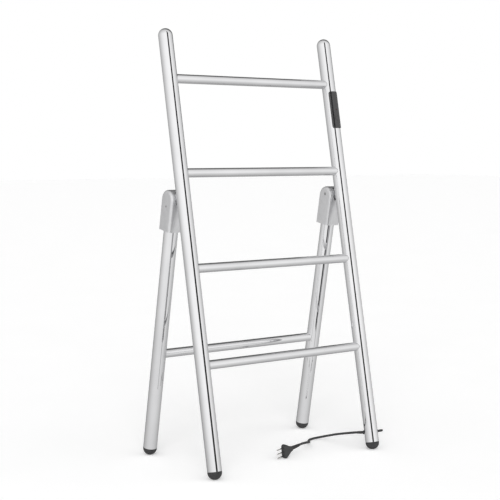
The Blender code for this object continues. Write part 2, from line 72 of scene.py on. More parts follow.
# ---- sizes that the CAD script shares, in metres ----
WALL = 0.002
FOOT_FLAT = 0.0008
SPIGOT_HEIGHT = 0.016
RUNG_WALL = 0.0015
HOUSING_HALF_DEPTH = 0.0275
HOUSING_BACK = 0.0013
HOUSING_ARCH_BELOW = 0.0055
HOUSING_FILLET = 0.0079
HOUSING_DROP = 0.092
LEG_TOP_BELOW_PIVOT = 0.0195
LEG_SCREW_BELOW_PIVOT = 0.0235
LEG_SCREW_RADIUS = 0.0025
LUG_WIDTH = 0.012
LUG_RADIUS = 0.011
SLOT_WIDTH = 0.0152
SLOT_RADIUS = 0.014
PIN_RADIUS = 0.004
PIN_BLIND_END = 0.021
CONTROL_LOW = 0.936
CONTROL_HIGH = 1.048
CONTROL_OUTER = 0.0226
CONTROL_HALF_ANGLE = math.radians(47.6)
CONTROL_CORNER = 0.007
BUTTON_AT = 0.966
BUTTON_RADIUS = 0.007
LENS_AT = 0.992
LENS_RADIUS = 0.0015
OUTLET_HEIGHT = 0.048
OUTLET_HEADING = (-0.70, 0.71, -0.05)
CORD_RADIUS = 0.0034
FLOOR_REST = 0.0036
PLUG_YAW = math.radians(10)
PLUG_PITCH = math.radians(7)          # the relief end is the higher one
PLUG_AT = (-0.0030, 0.0622, 0.0195)
PLUG_HALF_HEIGHT = 0.0205
PLUG_THICKNESS = 0.014
PLUG_RELIEF_START = 0.037
PLUG_RELIEF_END = 0.069
PIN_SPACING = 0.0118
PIN_TIP = 0.024
SLEEVE_LENGTH = 0.010
GAP = 0.0003

# ---- small features that only the looks have, in metres ----
LIP = 0.0006                          # rolled edge of a tube's open end
TUBE_END = 0.0021                     # open end above the foot dome's centre
SEAT_DEPTH = 0.0008                   # how far a rung's end sits in the stile's wall
FILLET_SIZE = 0.0016
FILLET_ROOT = 0.0007                  # how far a fillet reaches into the tubes
GROOVE_DEPTH = 0.0007                 # round the foot, under its tube
GROOVE_LOW = 0.0012
GROOVE_HIGH = 0.0018
HOOD_SLOT_REACH = 0.040
CUT_PAST = 0.02                       # how far a cutter runs on beyond the piece
KEY_RADIUS = 0.00135                  # hexagon recess in the leg screw
KEY_DEPTH = 0.0018
LUG_EASE = 0.0007
LUG_WELD = 0.0025                     # how far the lug reaches into the stile's wall
BUTTON_FACE = 0.0224
BUTTON_BACK = 0.0013                  # of the cap, outside the stile's face
STEM_RADIUS = 0.0022
STEM_END = 0.0127
GRIP_RADIUS = 0.0042                  # where the gland and the tail pass the stile's wall
GLAND_TIP = 0.0039
GLAND_LENGTH = 0.0200
FLANGE_STEP = 0.0007
TAIL_TIP = 0.0034
PLUG_RIM = 0.0030
RELIEF_TIP = 0.0042
RELIEF_ROOT = 0.0060
PLUG_PIN_RADIUS = 0.0019
SLEEVE_RADIUS = 0.0020

# ---- mesh steps ----
TUBE_STEPS = 72
RUNG_STEPS = 64
FILLET_STEPS = 5
BORE_STEPS = 40
COVER_STRIPS = 26
CORD_POINTS = 90
CURVE_STEPS = 20
FLAT_EDGE = 1e-6
ON_AXIS = 1e-7

# ---- camera ----
CAMERA_PLACE = (-2.05027, -2.75548, 0.87221)
CAMERA_LOOKS = (0.58666, 0.80565, -0.08221)
CAMERA_LENS = 86.328

# ---- studio ----
CARD_PLACE = (-0.18, -1.38, 0.0)
CARD_WIDTH = 0.62
CARD_BOTTOM = -0.5
CARD_TOP = 4
ROOM_LIGHT = 1.08
FLOOR_GLOW = 0.22
GREY_END = (0.423, 0.906, 0.0)
GREY_TONES = (
    (-1.0, 1.0),
    (-0.75, 0.96),
    (-0.3, 0.82),
    (0.1, 0.68),
    (0.5, 0.55),
    (0.85, 0.42),
    (1.0, 0.32),
)
BEAM = (0.587, 0.55, 0.595)
BEAM_TONES = ((0.0, 1.0), (0.72, 1.0), (0.84, 0.45), (0.90, 0.28), (1.0, 0.22))
HEIGHT_TONES = ((-1.0, 0.62), (-0.3, 0.84), (0.0, 1.0), (0.5, 1.0), (1.0, 0.9))
KEY_DIRECTION = (0.60, 0.78, -0.45)
KEY_ENERGY = 1.3
KEY_ANGLE = math.radians(35)
FLOOR_SIZE = 30.0
FLOOR_DROP = 0.0005


def centre(node):
    low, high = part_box(node)
    return (low + high) / 2


def extent(node):
    low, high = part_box(node)
    return high - low


# ---- axes, worked out from the frame ----
RUNG_RADIUS = extent("rung_1").z / 2
STILE_RADIUS = extent("stile_left").x / 2
STILE_X = centre("stile_right").x
FOOT_Z = STILE_RADIUS - FOOT_FLAT
UP_STILE = (centre("rung_1") - centre("rung_4")).normalized()
FOOT = centre("rung_4") - UP_STILE * ((centre("rung_4").z - FOOT_Z) / UP_STILE.z)
STILE_LENGTH = (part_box("stile_right")[1].z - STILE_RADIUS - FOOT_Z) / UP_STILE.z
PIVOT = Vector(next(j["pos_m"] for j in frame["joints"] if j["name"] == "rear_frame_fold"))
UP_LEG = (PIVOT - centre("crossbar")).normalized()
LEG_LENGTH = (PIVOT.z - FOOT_Z) / UP_LEG.z
HOUSING_WIDTH = extent("hinge_housing_right").x


def placed(base, up):
    """Local z runs along up, local x to the right and local y back."""
    right = Vector((1, 0, 0))
    back = up.cross(right)
    turn = Matrix((right, back, up)).transposed().to_4x4()
    return Matrix.Translation(base) @ turn


def stile_frame(x, along=0.0):
    base = Vector((x, FOOT.y, FOOT_Z)) + UP_STILE * along
    return placed(base, UP_STILE)


def leg_frame(x, below=0.0):
    base = Vector((x, PIVOT.y, PIVOT.z)) - UP_LEG * below
    return placed(base, UP_LEG)


# ---- materials ----
class Nodes:
    """Short names for building one material's node tree."""

    def __init__(self, name):
        self.material = bpy.data.materials.new(name)
        self.material.use_nodes = True
        self.tree = self.material.node_tree
        self.shader = self.tree.nodes["Principled BSDF"]
        self.place = self.add("ShaderNodeTexCoord").outputs["Object"]

    def add(self, kind, **values):
        node = self.tree.nodes.new(kind)
        for key, value in values.items():
            setattr(node, key, value)
        return node

    def link(self, source, target):
        self.tree.links.new(source, target)

    def noise(self, scale, detail=3.0, roughness=0.5, stretch=None):
        node = self.add("ShaderNodeTexNoise")
        node.inputs["Scale"].default_value = scale
        node.inputs["Detail"].default_value = detail
        node.inputs["Roughness"].default_value = roughness
        source = self.place
        if stretch:
            mapping = self.add("ShaderNodeMapping")
            mapping.inputs["Scale"].default_value = stretch
            self.link(self.place, mapping.inputs["Vector"])
            source = mapping.outputs["Vector"]
        self.link(source, node.inputs["Vector"])
        return node.outputs["Fac"]

    def spread(self, source, low, high, dark=0.3, bright=0.7):
        """Map a noise value to the range low to high."""
        node = self.add("ShaderNodeMapRange")
        node.inputs["From Min"].default_value = dark
        node.inputs["From Max"].default_value = bright
        node.inputs["To Min"].default_value = low
        node.inputs["To Max"].default_value = high
        self.link(source, node.inputs["Value"])
        return node.outputs["Result"]

    def ramp(self, source, low, high, dark=0.3, bright=0.7):
        node = self.add("ShaderNodeValToRGB")
        node.color_ramp.elements[0].position = dark
        node.color_ramp.elements[1].position = bright
        node.color_ramp.elements[0].color = (*low, 1.0)
        node.color_ramp.elements[1].color = (*high, 1.0)
        self.link(source, node.inputs["Fac"])
        return node.outputs["Color"]

    def bump(self, source, strength, distance):
        node = self.add("ShaderNodeBump")
        node.inputs["Strength"].default_value = strength
        node.inputs["Distance"].default_value = distance
        self.link(source, node.inputs["Height"])
        self.link(node.outputs["Normal"], self.shader.inputs["Normal"])

    def colour(self, source):
        self.link(source, self.shader.inputs["Base Color"])

    def roughness(self, source):
        self.link(source, self.shader.inputs["Roughness"])

    def fixed(self, **values):
        for key, value in values.items():
            self.shader.inputs[key.replace("_", " ")].default_value = value


def make_chrome():
    nodes = Nodes("chrome_finish")
    nodes.colour(nodes.ramp(nodes.noise(9.0, 4.0), (0.80, 0.80, 0.81), (0.87, 0.87, 0.88)))
    nodes.roughness(nodes.spread(nodes.noise(38.0, 5.0, 0.6), 0.025, 0.05))
    nodes.bump(nodes.noise(160.0, 2.0), 0.005, 0.0003)
    nodes.fixed(Metallic=1.0)
    return nodes.material


def make_cast():
    nodes = Nodes("satin_cast_finish")
    grain = nodes.noise(2600.0, 3.0, 0.65)
    nodes.colour(nodes.ramp(nodes.noise(60.0, 4.0), (0.71, 0.71, 0.72), (0.78, 0.78, 0.79)))
    nodes.roughness(nodes.spread(grain, 0.27, 0.37))
    nodes.bump(grain, 0.10, 0.0002)
    nodes.fixed(Metallic=0.88)
    return nodes.material


def make_steel():
    nodes = Nodes("zinc_plate_finish")
    streaks = nodes.noise(900.0, 4.0, 0.6, stretch=(1.0, 1.0, 0.12))
    nodes.colour(nodes.ramp(streaks, (0.42, 0.42, 0.43), (0.56, 0.56, 0.55)))
    nodes.roughness(nodes.spread(streaks, 0.26, 0.42))
    nodes.bump(streaks, 0.06, 0.0002)
    nodes.fixed(Metallic=1.0)
    return nodes.material


def make_nickel():
    nodes = Nodes("nickel_plate_finish")
    streaks = nodes.noise(1100.0, 3.0, 0.6, stretch=(1.0, 1.0, 0.15))
    nodes.colour(nodes.ramp(streaks, (0.62, 0.61, 0.59), (0.74, 0.73, 0.70)))
    nodes.roughness(nodes.spread(streaks, 0.16, 0.28))
    nodes.fixed(Metallic=1.0)
    return nodes.material


def make_rubber(name, dark, light, rough):
    nodes = Nodes(name)
    grain = nodes.noise(1500.0, 4.0, 0.7)
    nodes.colour(nodes.ramp(nodes.noise(220.0, 4.0), dark, light))
    nodes.roughness(nodes.spread(grain, rough - 0.08, rough + 0.08))
    nodes.bump(grain, 0.22, 0.0003)
    return nodes.material


def make_plastic(name, dark, light, rough, grain_scale=2200.0):
    nodes = Nodes(name)
    grain = nodes.noise(grain_scale, 2.0, 0.6)
    nodes.colour(nodes.ramp(nodes.noise(150.0, 3.0), dark, light))
    nodes.roughness(nodes.spread(grain, rough - 0.05, rough + 0.06))
    nodes.bump(grain, 0.10, 0.0002)
    return nodes.material


def make_board():
    nodes = Nodes("circuit_board_finish")
    tracks = nodes.add("ShaderNodeTexVoronoi", feature="DISTANCE_TO_EDGE", distance="MANHATTAN")
    tracks.inputs["Scale"].default_value = 420.0
    nodes.link(nodes.place, tracks.inputs["Vector"])
    nodes.colour(
        nodes.ramp(tracks.outputs["Distance"], (0.10, 0.34, 0.13), (0.02, 0.14, 0.05), 0.05, 0.11)
    )
    nodes.roughness(nodes.spread(nodes.noise(600.0), 0.35, 0.5))
    return nodes.material


def make_sheath():
    nodes = Nodes("heater_sheath_finish")
    weave = nodes.noise(1300.0, 3.0, 0.6, stretch=(1.0, 1.0, 0.3))
    nodes.colour(nodes.ramp(weave, (0.30, 0.09, 0.05), (0.50, 0.17, 0.09)))
    nodes.roughness(nodes.spread(weave, 0.5, 0.7))
    nodes.bump(weave, 0.2, 0.0003)
    return nodes.material


def make_lens():
    nodes = Nodes("lens_finish")
    nodes.colour(nodes.ramp(nodes.noise(900.0), (0.10, 0.012, 0.010), (0.16, 0.020, 0.015)))
    nodes.roughness(nodes.spread(nodes.noise(700.0), 0.08, 0.16))
    return nodes.material


CHROME = make_chrome()
CAST = make_cast()
STEEL = make_steel()
RUBBER = make_rubber("foot_rubber_finish", (0.020, 0.020, 0.021), (0.036, 0.036, 0.037), 0.55)
CORD_RUBBER = make_rubber("cord_jacket_finish", (0.020, 0.020, 0.021), (0.034, 0.034, 0.035), 0.45)
BLACK = make_plastic("black_plastic_finish", (0.010, 0.010, 0.011), (0.015, 0.015, 0.016), 0.16)
GLOSS = BLACK.node_tree.nodes["Principled BSDF"].inputs["Specular IOR Level"]
GLOSS.default_value = 0.95
PLUG_BLACK = make_plastic("plug_black_finish", (0.022, 0.022, 0.023), (0.034, 0.034, 0.035), 0.42)
WHITE = make_plastic("white_plastic_finish", (0.66, 0.65, 0.61), (0.76, 0.75, 0.71), 0.45)
NICKEL = make_nickel()
BOARD = make_board()
SHEATH = make_sheath()
LENS = make_lens()


# ---- mesh makers ----
def finished(name, mesh, paint, place, body, replaces=(), sharp=40):
    """Add the mesh as a piece that rides on a body, stands for CAD nodes and carries its paint."""
    item = bpy.data.objects.new(name, mesh)
    bpy.context.scene.collection.objects.link(item)
    mesh.transform(place)
    mesh.materials.clear()
    mesh.materials.append(paint)
    mesh.shade_smooth()
    mesh.set_sharp_from_angle(angle=math.radians(sharp))
    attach(item, body)
    if replaces:
        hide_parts(*replaces)
    return item


def arc(radius, start, end, count, middle=(0.0, 0.0)):
    """Points on an arc, both ends included, angles in degrees."""
    points = []
    for i in range(count + 1):
        angle = math.radians(start + (end - start) * i / count)
        points.append((middle[0] + radius * math.cos(angle), middle[1] + radius * math.sin(angle)))
    return points


def lathe(profile, steps=64, closed=False):
    """A mesh turned about local z from (radius, height) points that run down the outer side."""
    shape = bmesh.new()
    rings = []
    for radius, height in profile:
        if radius < ON_AXIS:
            rings.append([shape.verts.new((0, 0, height))])
            continue
        ring = []
        for i in range(steps):
            angle = 2 * math.pi * i / steps
            across = (radius * math.cos(angle), radius * math.sin(angle))
            ring.append(shape.verts.new((*across, height)))
        rings.append(ring)
    if closed:
        rings.append(rings[0])
    for upper, lower in zip(rings, rings[1:]):
        bridge(shape, upper, lower, steps)
    mesh = bpy.data.meshes.new("turned")
    shape.normal_update()
    shape.to_mesh(mesh)
    shape.free()
    return mesh


def bridge(shape, upper, lower, steps):
    """Faces between two rings, either of which may be a single point on the axis."""
    if len(upper) == 1 and len(lower) == 1:
        return
    for i in range(steps):
        j = (i + 1) % steps
        if len(upper) == 1:
            shape.faces.new((upper[0], lower[i], lower[j]))
        elif len(lower) == 1:
            shape.faces.new((upper[i], lower[0], upper[j]))
        else:
            shape.faces.new((upper[i], lower[i], lower[j], upper[j]))


def ring_strip(sections):
    """A closed ring from a list of closed cross-sections, each the same number of points."""
    shape = bmesh.new()
    rows = [[shape.verts.new(point) for point in section] for section in sections]
    for row, after in zip(rows, rows[1:] + rows[:1]):
        for i in range(len(row)):
            j = (i + 1) % len(row)
            shape.faces.new((row[i], after[i], after[j], row[j]))
    bmesh.ops.recalc_face_normals(shape, faces=shape.faces)
    mesh = bpy.data.meshes.new("ring")
    shape.to_mesh(mesh)
    shape.free()
    return mesh


def slab(outline, thickness):
    """A flat outline in local xy as a closed mesh, its thickness centred on local z."""
    shape = bmesh.new()
    top = [shape.verts.new((x, y, thickness / 2)) for x, y in outline]
    bottom = [shape.verts.new((x, y, -thickness / 2)) for x, y in outline]
    shape.faces.new(top)
    shape.faces.new(bottom[::-1])
    for i in range(len(outline)):
        j = (i + 1) % len(outline)
        shape.faces.new((top[i], bottom[i], bottom[j], top[j]))
    bmesh.ops.recalc_face_normals(shape, faces=shape.faces)
    return shape


def on_outline(edge):
    """True for a slab's edge round one of its faces, not across its thickness."""
    first, second = edge.verts
    return abs(first.co.z - second.co.z) < FLAT_EDGE


def to_mesh(shape):
    mesh = bpy.data.meshes.new("piece")
    shape.to_mesh(mesh)
    shape.free()
    return mesh


def carved(mesh, place, cutters):
    """The mesh after the cutters, each a (mesh, place), are cut from it."""
    item = bpy.data.objects.new("carved", mesh)
    bpy.context.scene.collection.objects.link(item)
    item.matrix_world = place
    helpers = []
    for cut_mesh, cut_place in cutters:
        helper = bpy.data.objects.new("cutter", cut_mesh)
        bpy.context.scene.collection.objects.link(helper)
        helper.matrix_world = cut_place
        modifier = item.modifiers.new("cut", "BOOLEAN")
        modifier.object = helper
        modifier.solver = "EXACT"
        helpers.append(helper)
    bpy.context.view_layer.update()
    graph = bpy.context.evaluated_depsgraph_get()
    result = bpy.data.meshes.new_from_object(item.evaluated_get(graph))
    for helper in helpers + [item]:
        bpy.data.objects.remove(helper)
    return result


def rod_mesh(radius, low, high, steps=48):
    return lathe([(0, high), (radius, high), (radius, low), (0, low)], steps)


# ---- ladder frame ----
def stile(side):
    """The long tube with its domed top, and a rolled lip above the foot."""
    inner = STILE_RADIUS - WALL
    outside = [(radius, STILE_LENGTH + rise) for radius, rise in arc(STILE_RADIUS, 90, 0, 14)]
    outside[0] = (0, outside[0][1])
    rim = arc(LIP, 0, -90, 4, (STILE_RADIUS - LIP, TUBE_END + LIP))
    inside = [(radius, STILE_LENGTH + rise) for radius, rise in arc(inner, 0, 90, 8)]
    inside[-1] = (0, inside[-1][1])
    profile = outside + rim + [(inner, TUBE_END)] + inside
    mesh = lathe(profile, TUBE_STEPS)
    place = stile_frame(SIDES[side] * STILE_X)
    finished(f"stile_{side}_tube", mesh, CHROME, place, LADDER, [f"stile_{side}"])


def saddle_reach(radius, angle, into):
    """Distance from the big tube's axis at which a thinner tube's line meets it."""
    return math.sqrt(into**2 - (radius * math.cos(angle)) ** 2)


def saddle_tube(radius, wall):
    """A tube along local x between the two big tubes, each end cut to sit in their walls."""
    shape = bmesh.new()
    seat = STILE_RADIUS - SEAT_DEPTH
    rows = []
    for tube_radius, ends in ((radius, (-1, 1)), (radius - wall, (1, -1))):
        for end in ends:
            row = []
            for i in range(RUNG_STEPS):
                angle = 2 * math.pi * i / RUNG_STEPS
                reach = STILE_X - saddle_reach(tube_radius, angle, seat)
                y = tube_radius * math.cos(angle)
                z = tube_radius * math.sin(angle)
                row.append(shape.verts.new((end * reach, y, z)))
            rows.append(row)
    for row, after in zip(rows, rows[1:] + rows[:1]):
        bridge(shape, row, after, RUNG_STEPS)
    bmesh.ops.recalc_face_normals(shape, faces=shape.faces)
    return to_mesh(shape)


def weld_fillet(radius, side):
    """The polished fillet round the joint of a thin tube with a big one, at local +x or -x."""
    outer = radius + FILLET_SIZE
    sections = []
    for i in range(RUNG_STEPS):
        angle = 2 * math.pi * i / RUNG_STEPS
        across = Vector((0, math.cos(angle), math.sin(angle)))
        corner = across * radius
        corner.x = STILE_X - saddle_reach(radius, angle, STILE_RADIUS)
        on_thin = corner - Vector((FILLET_SIZE, 0, 0))
        on_big = across * outer
        on_big.x = STILE_X - saddle_reach(outer, angle, STILE_RADIUS)
        inside = across * (radius - FILLET_ROOT)
        inside.x = corner.x + FILLET_ROOT
        section = []
        for step in range(FILLET_STEPS + 1):
            t = step / FILLET_STEPS
            section.append(on_thin * (1 - t) ** 2 + corner * 2 * t * (1 - t) + on_big * t * t)
        section.append(inside)
        sections.append([Vector((side * p.x, p.y, p.z)) for p in section])
    return ring_strip(sections)


def thin_tube(node, place, radius, wall, body):
    """A rung or the crossbar with the fillets at its two ends."""
    mesh = saddle_tube(radius, wall)
    finished(f"{node}_tube", mesh, CHROME, place, body, [node])
    for side, sign in SIDES.items():
        fillet = weld_fillet(radius, sign)
        finished(f"{node}_fillet_{side}", fillet, CHROME, place, body)


def foot(node, place, body):
    """The domed rubber foot: a shallow groove under the tube, then a dome, flat where it stands."""
    radius = STILE_RADIUS
    spigot = radius - WALL - GAP
    groove = radius - GROOVE_DEPTH
    ease = 0.001
    soft = 0.0004
    profile = [(0, SPIGOT_HEIGHT), (spigot - ease, SPIGOT_HEIGHT), (spigot, SPIGOT_HEIGHT - ease)]
    profile += [(spigot, GROOVE_HIGH), (groove, GROOVE_HIGH), (groove, GROOVE_LOW)]
    profile += arc(soft, 60, 0, 3, (radius - soft, GROOVE_LOW / 2))
    profile += arc(radius, 0, -90, 22)[1:]
    profile[-1] = (0, -radius)
    mesh = lathe(profile, TUBE_STEPS)
    back = place.inverted()
    for vert in mesh.vertices:
        world = place @ vert.co
        world.z = max(world.z, 0.0)
        vert.co = back @ world
    finished(f"{node}_pad", mesh, RUBBER, place, body, [node])


def build_ladder():
    for side in SIDES:
        stile(side)
        foot(f"foot_front_{side}", stile_frame(SIDES[side] * STILE_X), LADDER)
    for node in RUNGS:
        along = (centre(node).z - FOOT_Z) / UP_STILE.z
        thin_tube(node, stile_frame(0, along), RUNG_RADIUS, RUNG_WALL, LADDER)


# ---- rear frame ----
def leg(side):
    """A straight tube with a rolled lip above the foot, its top hidden in the housing."""
    inner = STILE_RADIUS - WALL
    edge = STILE_RADIUS - LIP
    low = TUBE_END - LEG_LENGTH
    high = -LEG_TOP_BELOW_PIVOT
    profile = [(edge, high)] + arc(LIP, 90, 0, 4, (edge, high - LIP))[1:]
    profile += arc(LIP, 0, -90, 4, (edge, low + LIP)) + [(inner, low), (inner, high)]
    place = leg_frame(SIDES[side] * STILE_X)
    mesh = lathe(profile, TUBE_STEPS, closed=True)
    finished(f"leg_{side}_tube", mesh, CHROME, place, REAR, [f"leg_{side}"])


def side_view(place):
    """Local x runs back, local y up and local z to the right."""
    return place @ Matrix(((0, 0, 1), (1, 0, 0), (0, 1, 0))).to_4x4()


def housing(side):
    """The cast hood: rounded top, wide soft rims, a slot for the lug and a socket for the leg."""
    half = HOUSING_HALF_DEPTH
    place = side_view(leg_frame(SIDES[side] * STILE_X))
    outline = arc(half, 0, 180, 40, (HOUSING_BACK, -HOUSING_ARCH_BELOW))
    outline += [(HOUSING_BACK - half, -HOUSING_DROP), (HOUSING_BACK + half, -HOUSING_DROP)]
    shape = slab(outline, HOUSING_WIDTH)
    rims = [edge for edge in shape.edges if is_rim(edge)]
    bmesh.ops.bevel(
        shape, geom=rims, offset=HOUSING_FILLET, segments=9, profile=0.5, affect="EDGES"
    )
    lean = math.degrees(math.acos(UP_STILE.z) + math.acos(UP_LEG.z))
    reach = HOOD_SLOT_REACH
    top = math.radians(180 - lean)
    rim = arc(SLOT_RADIUS, -90, 90 - lean, 24)
    far_top = (rim[-1][0] + reach * math.cos(top), rim[-1][1] + reach * math.sin(top))
    slot = to_mesh(slab([(-reach, -SLOT_RADIUS)] + rim + [far_top], SLOT_WIDTH))
    socket_top = GAP - LEG_TOP_BELOW_PIVOT
    socket = rod_mesh(STILE_RADIUS + GAP, -HOUSING_DROP - CUT_PAST, socket_top, TUBE_STEPS)
    sign = SIDES[side]
    ends = sorted((sign * PIN_BLIND_END, -sign * HOUSING_WIDTH))
    bore = rod_mesh(PIN_RADIUS + GAP, ends[0], ends[1], BORE_STEPS)
    screw_hole = rod_mesh(LEG_SCREW_RADIUS + GAP, STILE_RADIUS - WALL / 2, HOUSING_WIDTH, 32)
    cutters = [
        (slot, place),
        (socket, leg_frame(sign * STILE_X)),
        (bore, place),
        (screw_hole, leg_screw_place(side)),
    ]
    mesh = carved(to_mesh(shape), place, cutters)
    finished(
        f"hinge_hood_{side}", mesh, CAST, place, REAR, [f"hinge_housing_{side}"], 30
    )


def is_rim(edge):
    """True for the rims between the cheeks and the curved edge, not at the open lower end."""
    highest = max(vert.co.y for vert in edge.verts)
    return on_outline(edge) and highest > GAP - HOUSING_DROP


def leg_screw_place(side):
    turn = Matrix.Rotation(math.radians(90 * SIDES[side]), 4, "Y")
    return leg_frame(SIDES[side] * STILE_X, LEG_SCREW_BELOW_PIVOT) @ turn


def leg_screw(side):
    """A grub screw with a hexagon recess, sunk a little below the cheek."""
    high = HOUSING_WIDTH / 2 - GAP
    low = STILE_RADIUS + GAP
    radius = LEG_SCREW_RADIUS
    ease = 0.0004
    profile = [(0, high), (radius - ease, high), (radius, high - ease), (radius, low), (0, low)]
    key = to_mesh(slab(arc(KEY_RADIUS, 0, 300, 5), 2 * KEY_DEPTH))
    place = leg_screw_place(side)
    key_place = place @ Matrix.Translation((0, 0, high))
    mesh = carved(lathe(profile, BORE_STEPS), place, [(key, key_place)])
    finished(f"leg_screw_{side}_head", mesh, STEEL, place, REAR, [f"leg_screw_{side}"], 30)


def build_rear_frame():
    below = (PIVOT.z - centre("crossbar").z) / UP_LEG.z
    radius = extent("crossbar").z / 2
    thin_tube("crossbar", leg_frame(0, below), radius, RUNG_WALL, REAR)
    for side in SIDES:
        leg(side)
        foot(f"foot_rear_{side}", leg_frame(SIDES[side] * STILE_X, LEG_LENGTH), REAR)
        housing(side)
        leg_screw(side)


# ---- hinge pieces on the ladder ----
def lug(side):
    """The lug plate welded to the stile's back, with eased edges."""
    base = Vector((SIDES[side] * STILE_X, PIVOT.y, PIVOT.z))
    upright = placed(base, UP_STILE)
    place = side_view(upright)
    back = (PIVOT - Vector((0, FOOT.y, FOOT_Z))).dot(upright.col[1].to_3d())
    radius = LUG_RADIUS
    reach = back - STILE_RADIUS + LUG_WELD
    outline = arc(radius, -90, 90, 28) + [(-reach, radius), (-reach, -radius)]
    shape = slab(outline, LUG_WIDTH)
    edges = [edge for edge in shape.edges if on_outline(edge)]
    bmesh.ops.bevel(shape, geom=edges, offset=LUG_EASE, segments=3, profile=0.5, affect="EDGES")
    bore = rod_mesh(PIN_RADIUS + GAP, -CUT_PAST, CUT_PAST, BORE_STEPS)
    mesh = carved(to_mesh(shape), place, [(bore, place)])
    finished(
        f"hinge_lug_{side}_plate", mesh, CHROME, place, LADDER, [f"hinge_lug_{side}"], 30
    )


def hinge_pin(side):
    """The pin, with a rounded, slotted head at the inner cheek."""
    sign = SIDES[side]
    turn = Matrix.Rotation(math.radians(-90 * sign), 4, "Y")
    base = Vector((sign * STILE_X, PIVOT.y, PIVOT.z))
    place = Matrix.Translation(base) @ turn
    high = HOUSING_WIDTH / 2 - GAP
    low = -PIN_BLIND_END + GAP
    ease = 0.0006
    profile = [(0, high), (PIN_RADIUS - ease, high)]
    profile += arc(ease, 60, 0, 3, (PIN_RADIUS - ease, high - ease)) + [(PIN_RADIUS, low), (0, low)]
    long = 0.006
    wide = 0.0005
    slot = slab([(long, wide), (-long, wide), (-long, -wide), (long, -wide)], 4 * wide)
    slot_place = place @ Matrix.Translation((0, 0, high))
    mesh = carved(lathe(profile, BORE_STEPS), place, [(to_mesh(slot), slot_place)])
    finished(
        f"hinge_pin_{side}_turned", mesh, STEEL, place,
        LADDER, [f"hinge_pin_{side}"], 30,
    )


def build_hinges():
    for side in SIDES:
        lug(side)
        hinge_pin(side)


# ---- control ----
def on_stile_front(along):
    """Local z runs forward out of the right stile and local y up it."""
    return stile_frame(STILE_X, along) @ Matrix.Rotation(math.radians(90), 4, "X")


def control_cover():
    """The thin moulded saddle round the front of the stile, with rounded corners and soft rims."""
    inner = STILE_RADIUS + GAP
    outer = CONTROL_OUTER
    half_height = (CONTROL_HIGH - CONTROL_LOW) / 2
    middle = (CONTROL_HIGH + CONTROL_LOW) / 2
    half_width = outer * CONTROL_HALF_ANGLE
    soft_rim = ((inner, 0.0), (outer - 0.0009, 0.0), (outer - 0.0003, 0.0004), (outer, 0.0012))
    corners = ((1, 1, 0), (-1, 1, 90), (-1, -1, 180), (1, -1, 270))
    shape = bmesh.new()
    layers = []
    for depth, inset in soft_rim:
        rim = []
        for right, up, start in corners:
            mid = (right * (half_width - CONTROL_CORNER), up * (half_height - CONTROL_CORNER))
            rim += arc(CONTROL_CORNER - inset, start, start + 90, 8, mid)
        layers.append([shape.verts.new(wrap(x, y, depth)) for x, y in rim])
    count = len(layers[0])
    for low, high in zip(layers, layers[1:]):
        for i in range(count):
            j = (i + 1) % count
            shape.faces.new((low[i], low[j], high[j], high[i]))
    fill_wrapped(shape, layers[-1], COVER_STRIPS)
    fill_wrapped(shape, layers[0][::-1], COVER_STRIPS)
    bmesh.ops.recalc_face_normals(shape, faces=shape.faces)
    place = stile_frame(STILE_X, middle)
    cutters = []
    for radius, along in ((BUTTON_RADIUS + GAP, BUTTON_AT), (LENS_RADIUS + GAP, LENS_AT)):
        cutter = rod_mesh(radius, STILE_RADIUS - 2 * WALL, STILE_RADIUS + CUT_PAST / 2, 48)
        cutters.append((cutter, on_stile_front(along)))
    mesh = carved(to_mesh(shape), place, cutters)
    finished("control_shell", mesh, BLACK, place, LADDER, ["control_cover"], 32)


def wrap(across, up, radius):
    """A point on the stile's front, from a distance round it and a height."""
    angle = across / CONTROL_OUTER
    return (radius * math.sin(angle), -radius * math.cos(angle), up)


def fill_wrapped(shape, loop, strips):
    """Fill a mirrored loop with narrow strips, so that the face follows the stile's curve."""
    faces = bmesh.ops.triangle_fill(shape, edges=loop_edges(shape, loop), use_beauty=False)
    cells = [g for g in faces["geom"] if isinstance(g, bmesh.types.BMFace)]
    angles = [math.atan2(v.co.x, -v.co.y) for v in loop]
    radius = math.hypot(loop[0].co.x, loop[0].co.y)
    low, high = min(angles), max(angles)
    for i in range(1, strips):
        angle = low + (high - low) * i / strips
        normal = Vector((math.cos(angle), math.sin(angle), 0))
        live = [f for f in cells if f.is_valid]
        geometry = live + list({e for f in live for e in f.edges})
        geometry += list({v for f in live for v in f.verts})
        cut = bmesh.ops.bisect_plane(shape, geom=geometry, plane_co=(0, 0, 0), plane_no=normal)
        made = {g for g in cut["geom"] if isinstance(g, bmesh.types.BMFace)}
        cells = list({f for f in live if f.is_valid} | made)
    for vert in {v for f in cells if f.is_valid for v in f.verts}:
        flat = math.hypot(vert.co.x, vert.co.y)
        vert.co.x *= radius / flat
        vert.co.y *= radius / flat


def loop_edges(shape, loop):
    found = []
    for first, second in zip(loop, loop[1:] + loop[:1]):
        found.append(shape.edges.get((first, second)) or shape.edges.new((first, second)))
    return found


def control_button():
    """The flush push button, its face dished, with its stem to the switch."""
    face = BUTTON_FACE
    back = STILE_RADIUS + BUTTON_BACK
    ease = 0.0006
    radius = BUTTON_RADIUS
    dish = [(0, face - 0.0007), (radius * 0.4, face - 0.0006), (radius * 0.7, face - 0.0003)]
    profile = dish + [(radius - ease - 0.0002, face)]
    profile += arc(ease, 80, 0, 4, (radius - ease, face - ease)) + [(radius, back)]
    profile += [(STEM_RADIUS, back), (STEM_RADIUS, STEM_END), (0, STEM_END)]
    finished(
        "control_button_cap", lathe(profile, 56), BLACK, on_stile_front(BUTTON_AT),
        "control_button", ["control_button"],
    )


